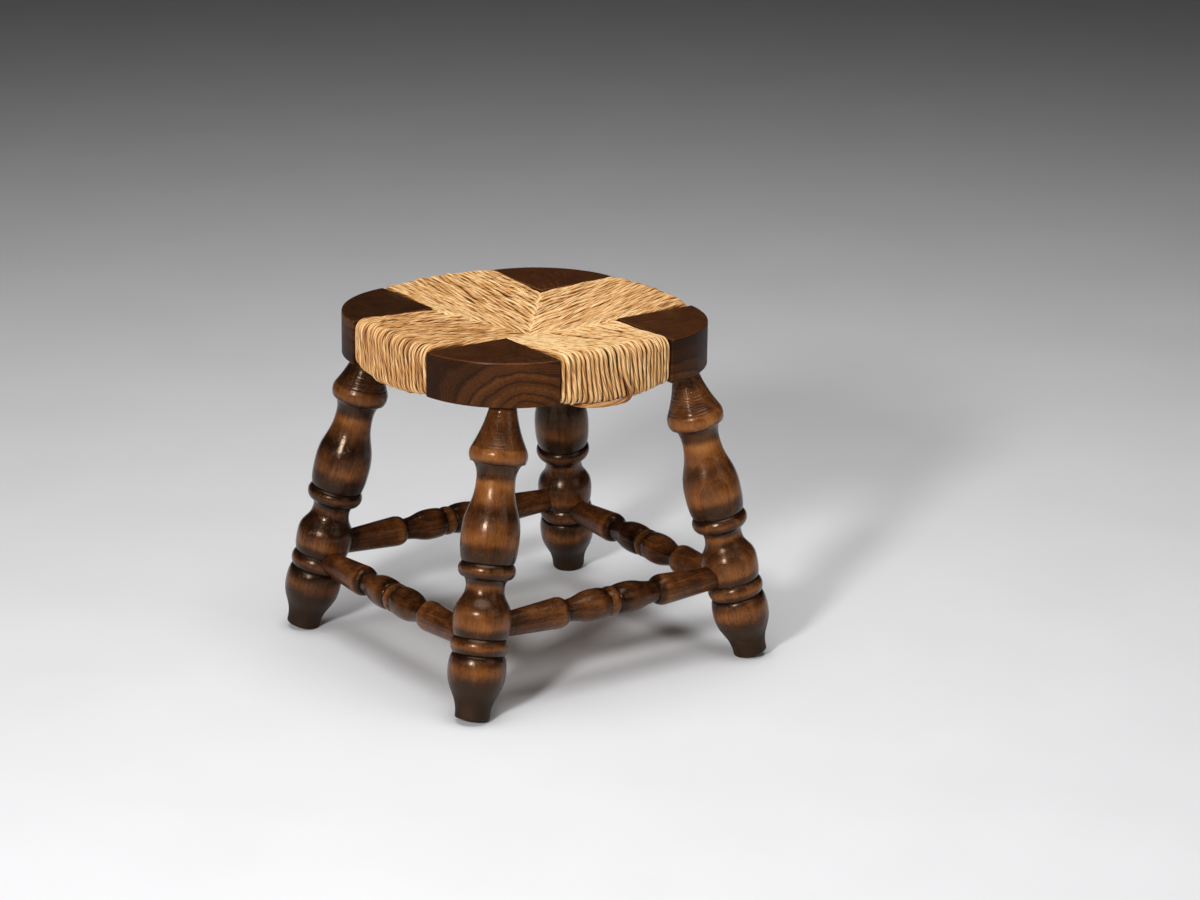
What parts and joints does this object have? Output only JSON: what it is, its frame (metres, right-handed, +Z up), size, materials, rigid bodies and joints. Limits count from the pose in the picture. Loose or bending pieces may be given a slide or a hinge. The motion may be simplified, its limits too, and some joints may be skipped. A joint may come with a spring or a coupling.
{
  "type": "rush-seat stool",
  "caption": "Low rustic stool with splayed turned legs, turned stretchers and a woven rush seat between rounded dark wood corner blocks.",
  "frame": {"origin": "on the floor under the middle of the seat", "axes": "+Z up; X and Y run along the seat rails, so the legs stand on the diagonals"},
  "size_m": [0.3619, 0.3512, 0.3365],
  "materials": {
    "block_wood": "satin varnish over dark walnut stain",
    "turned_wood": "satin varnish over worn walnut stain",
    "bare_wood": "bare, planed",
    "rush": "twisted dry rush, woven",
    "stuffing": "loose dry straw"
  },
  "bodies": {
    "root": {"front_corner_block": "block_wood", "front_leg": "turned_wood", "right_corner_block": "block_wood", "right_leg": "turned_wood", "back_corner_block": "block_wood", "back_leg": "turned_wood", "left_corner_block": "block_wood", "left_leg": "turned_wood", "front_right_seat_rail": "bare_wood", "front_right_rush_panel": "rush", "front_right_stuffing_pad": "stuffing", "front_right_stretcher": "turned_wood", "back_right_seat_rail": "bare_wood", "back_right_rush_panel": "rush", "back_right_stuffing_pad": "stuffing", "back_right_stretcher": "turned_wood", "back_left_seat_rail": "bare_wood", "back_left_rush_panel": "rush", "back_left_stuffing_pad": "stuffing", "back_left_stretcher": "turned_wood", "front_left_seat_rail": "bare_wood", "front_left_rush_panel": "rush", "front_left_stuffing_pad": "stuffing", "front_left_stretcher": "turned_wood"}
  },
  "joints": []
}
